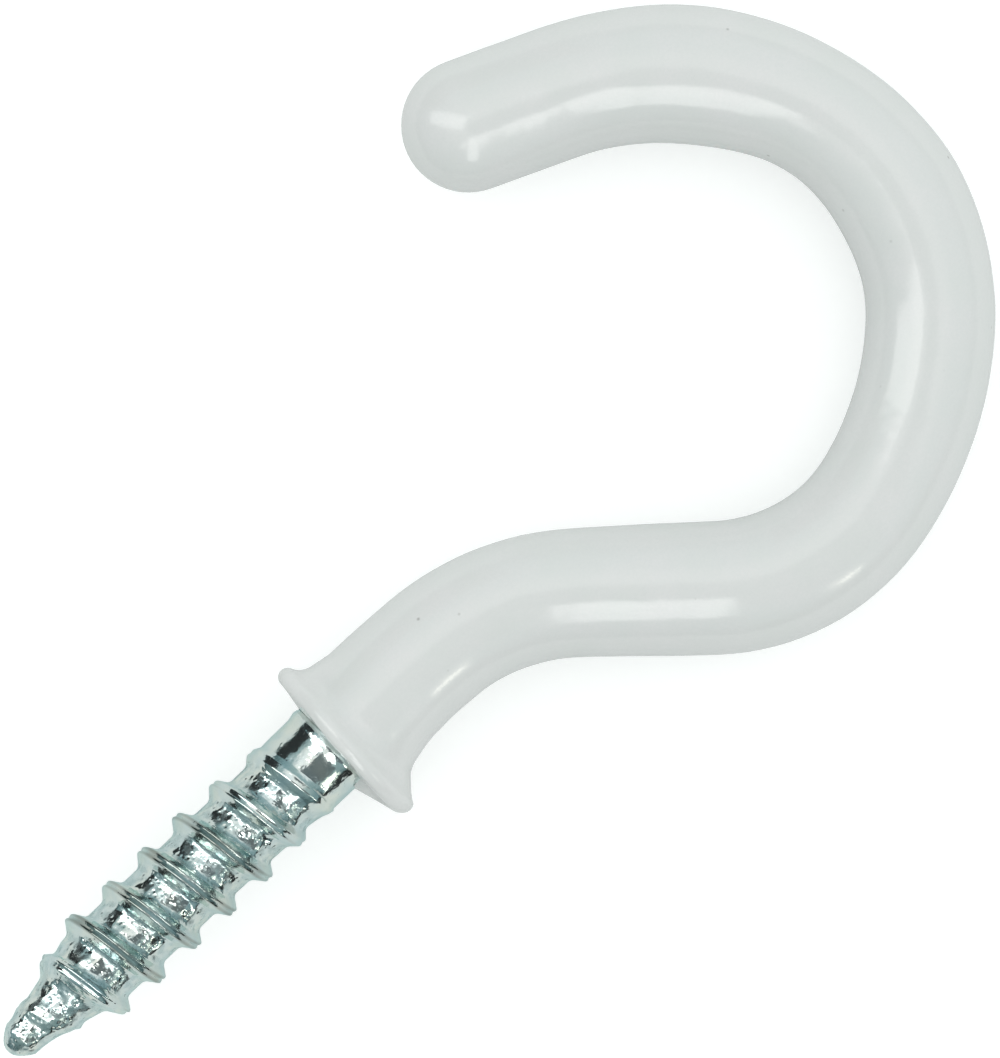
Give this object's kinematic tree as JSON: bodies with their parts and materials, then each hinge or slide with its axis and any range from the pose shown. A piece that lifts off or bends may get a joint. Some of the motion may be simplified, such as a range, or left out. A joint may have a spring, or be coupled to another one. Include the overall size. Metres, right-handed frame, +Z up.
{
  "type": "screw hook",
  "caption": "Plastic-coated steel screw hook: a wood-screw thread with a blunt point, a flared collar that seats on the wood, and a round open hook with a rounded end.",
  "frame": {"origin": "centre of the collar's seat, where the steel comes out of the plastic", "axes": "+X runs along the screw towards the hook, leaning 2 degrees down as the hook lies on its side; +Z is up, away from the surface it lies on"},
  "size_m": [0.0481, 0.0253, 0.0069],
  "materials": {
    "zinc_plated_steel": "bright zinc plating",
    "white_plastic": "glossy dipped plastic"
  },
  "bodies": {
    "root": {"steel_screw": "zinc_plated_steel", "plastic_coat": "white_plastic"}
  },
  "joints": []
}
